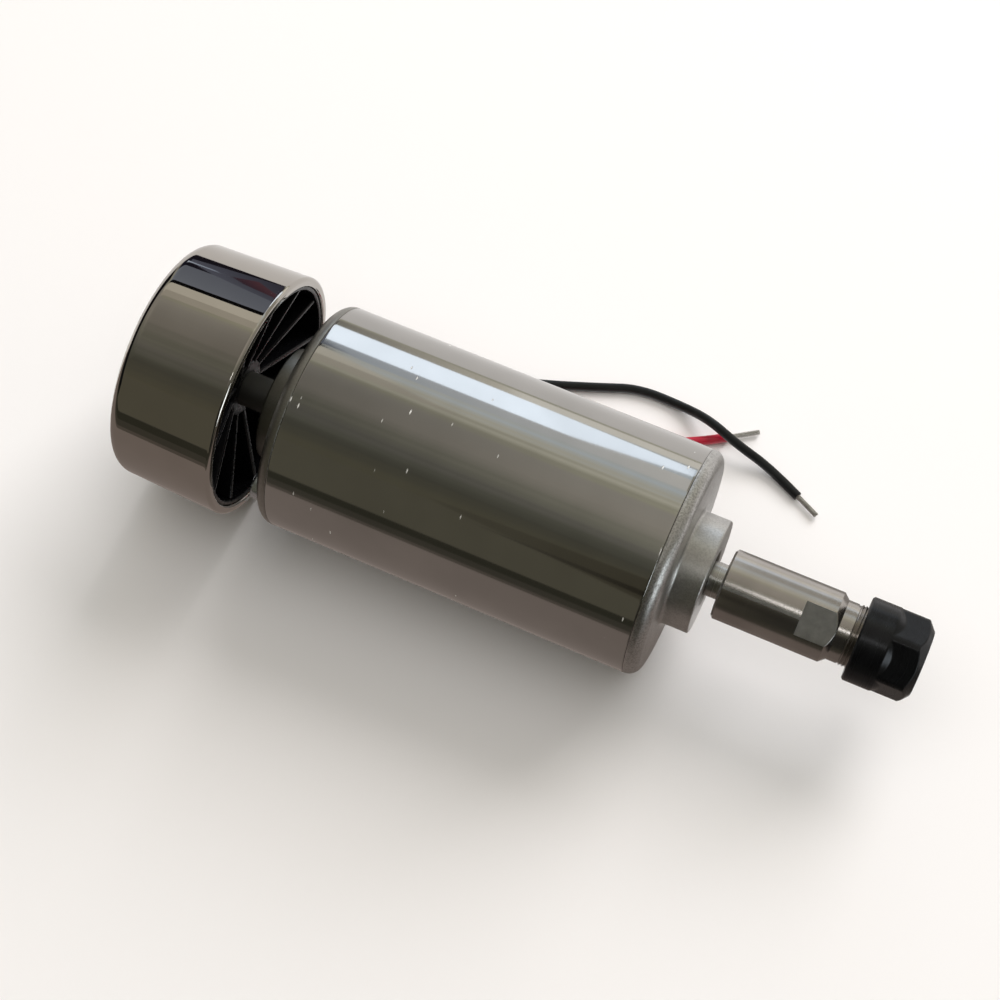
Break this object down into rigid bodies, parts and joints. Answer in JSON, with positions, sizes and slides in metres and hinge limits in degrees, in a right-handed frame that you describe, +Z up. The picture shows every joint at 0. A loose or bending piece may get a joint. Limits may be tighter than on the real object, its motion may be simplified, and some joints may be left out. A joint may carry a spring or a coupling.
{
  "type": "motor spindle",
  "caption": "Round direct-current motor spindle with a cup-shaped rear fan, a collet chuck with a hexagon nut in front, and two bare-ended leads.",
  "frame": {"origin": "on the shaft axis, at the middle of the 52 mm steel tube", "axes": "+X along the shaft axis towards the collet nut, +Z up as the spindle lies in the picture, leads on the +Y side"},
  "size_m": [0.1803, 0.0808, 0.057],
  "materials": {
    "polished_steel": "polished bare steel, faint lengthwise and turning marks",
    "cast_aluminium": "as cast, grainy, boss turned",
    "zinc_steel": "bright zinc plated",
    "ferrite": "pressed ferrite, dull",
    "spring_steel": "hard drawn spring steel",
    "phenolic": "brown moulded resin",
    "brass": "stamped brass",
    "black_rubber": "soft black rubber",
    "black_insulation": "extruded black insulation",
    "red_insulation": "extruded red insulation",
    "tinned_copper": "stranded copper, dipped in solder",
    "carbon": "carbon graphite",
    "ground_steel": "ground",
    "lamination_steel": "stacked sheets",
    "enamelled_copper": "enamelled copper wire",
    "commutator_copper": "turned copper",
    "bearing_steel": "polished bearing steel",
    "bearing_cage_steel": "pressed sheet steel",
    "bright_plating": "mirror bright plating",
    "gloss_black_plastic": "glossy black moulding",
    "turned_steel": "fine turned steel, satin",
    "black_oxide_steel": "black oxide, lightly oiled"
  },
  "bodies": {
    "motor": {"motor_tube": "polished_steel", "front_end_cap": "cast_aluminium", "rear_end_cap": "cast_aluminium", "through_bolts": "zinc_steel", "magnet_upper": "ferrite", "magnet_lower": "ferrite", "magnet_clips": "spring_steel", "preload_washer": "spring_steel", "brush_plate": "phenolic", "brush_boxes": "brass", "lead_terminals": "brass", "lead_grommets": "black_rubber", "black_lead": "black_insulation", "red_lead": "red_insulation", "black_lead_end": "tinned_copper", "red_lead_end": "tinned_copper", "front_bearing_outer_ring": "bearing_steel", "front_bearing_shields": "bearing_steel", "rear_bearing_outer_ring": "bearing_steel", "rear_bearing_shields": "bearing_steel"},
    "rotor": {"rotor_shaft": "ground_steel", "armature_core": "lamination_steel", "slot_insulators": "phenolic", "armature_winding": "enamelled_copper", "commutator_bars": "commutator_copper", "commutator_hub": "phenolic", "front_bearing_inner_ring": "bearing_steel", "rear_bearing_inner_ring": "bearing_steel", "fan_shell": "bright_plating", "fan_sleeve": "gloss_black_plastic", "fan_impeller": "gloss_black_plastic", "chuck_body": "turned_steel"},
    "front_ball_set": {"front_bearing_balls": "bearing_steel", "front_bearing_cage": "bearing_cage_steel"},
    "rear_ball_set": {"rear_bearing_balls": "bearing_steel", "rear_bearing_cage": "bearing_cage_steel"},
    "upper_brush": {"upper_brush": "carbon", "upper_brush_spring": "spring_steel"},
    "lower_brush": {"lower_brush": "carbon", "lower_brush_spring": "spring_steel"},
    "collet": {"collet": "ground_steel"},
    "collet_nut": {"collet_nut": "black_oxide_steel"}
  },
  "joints": [
    {"name": "rotor_spin", "type": "hinge", "parent": "motor", "child": "rotor", "pos_m": [0, 0, 0], "axis": [1, 0, 0], "continuous": true},
    {"name": "front_balls_roll", "type": "hinge", "parent": "motor", "child": "front_ball_set", "pos_m": [0.0465, 0, 0], "axis": [1, 0, 0], "continuous": true},
    {"name": "rear_balls_roll", "type": "hinge", "parent": "motor", "child": "rear_ball_set", "pos_m": [-0.0465, 0, 0], "axis": [1, 0, 0], "continuous": true},
    {"name": "upper_brush_slide", "type": "slide", "parent": "motor", "child": "upper_brush", "axis": [0, 0, 1], "range_m": [0, 0.0015], "stiffness_N_per_m": 400, "springref_m": -0.002, "deforming": ["upper_brush_spring"]},
    {"name": "lower_brush_slide", "type": "slide", "parent": "motor", "child": "lower_brush", "axis": [0, 0, -1], "range_m": [0, 0.0015], "stiffness_N_per_m": 400, "springref_m": -0.002, "deforming": ["lower_brush_spring"]},
    {"name": "collet_slide", "type": "slide", "parent": "rotor", "child": "collet", "axis": [1, 0, 0], "range_m": [0, 0.003]},
    {"name": "nut_turn", "type": "hinge", "parent": "collet", "child": "collet_nut", "pos_m": [0.092, 0, 0], "axis": [1, 0, 0], "range_deg": [0, 1440]}
  ],
  "couplings": [
    {"joint": "front_balls_roll", "follows": "rotor_spin", "ratio": 0.36767},
    {"joint": "rear_balls_roll", "follows": "rotor_spin", "ratio": 0.36767},
    {"joint": "nut_turn", "follows": "collet_slide", "rad_per_m": 8377.6}
  ]
}
